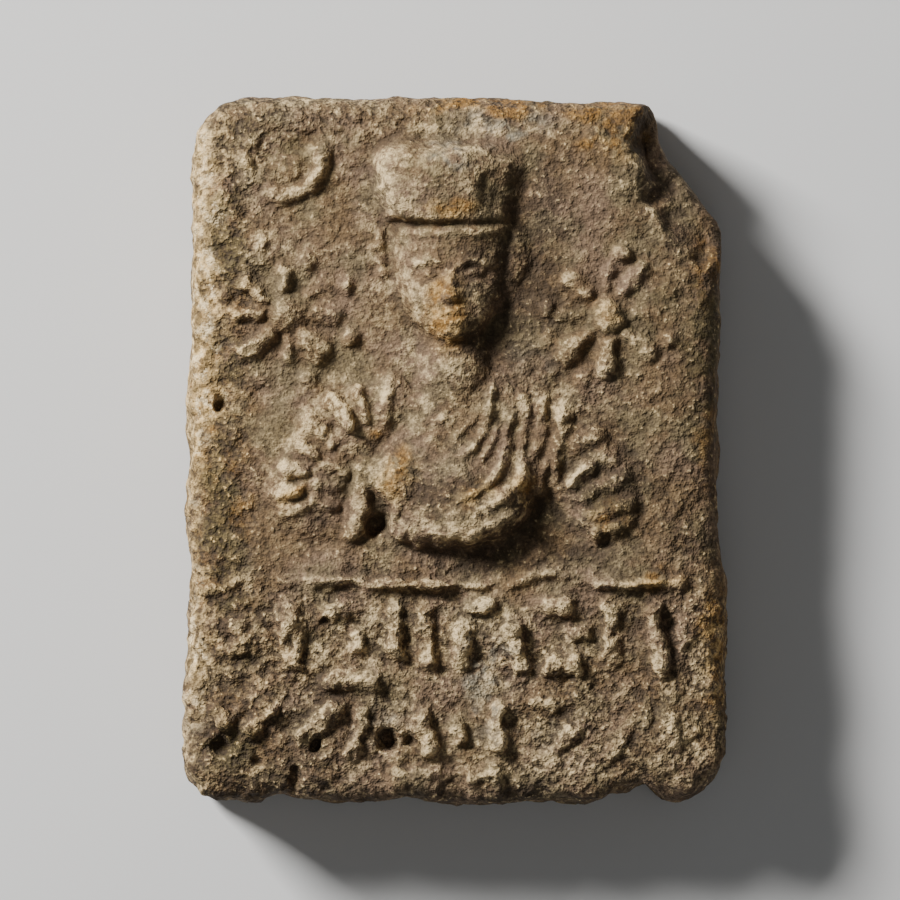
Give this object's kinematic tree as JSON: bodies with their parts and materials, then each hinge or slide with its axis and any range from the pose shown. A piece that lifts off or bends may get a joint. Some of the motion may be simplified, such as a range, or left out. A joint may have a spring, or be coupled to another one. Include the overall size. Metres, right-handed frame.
{
  "type": "terracotta tablet",
  "caption": "Small worn terracotta tablet with a priest's bust, stars and a crescent in low relief over a ruled line and rows of strokes, with a corner broken off.",
  "frame": {"origin": "centre of the flat back, which the tablet lies on", "axes": "+Z out of the relief face, +Y towards the top edge above the bust's hat, +X to the right as the relief is seen"},
  "size_m": [0.023, 0.03, 0.0078],
  "materials": {
    "fired_clay": "matt, worn and pitted"
  },
  "bodies": {
    "root": {"tablet": "fired_clay"}
  },
  "joints": []
}
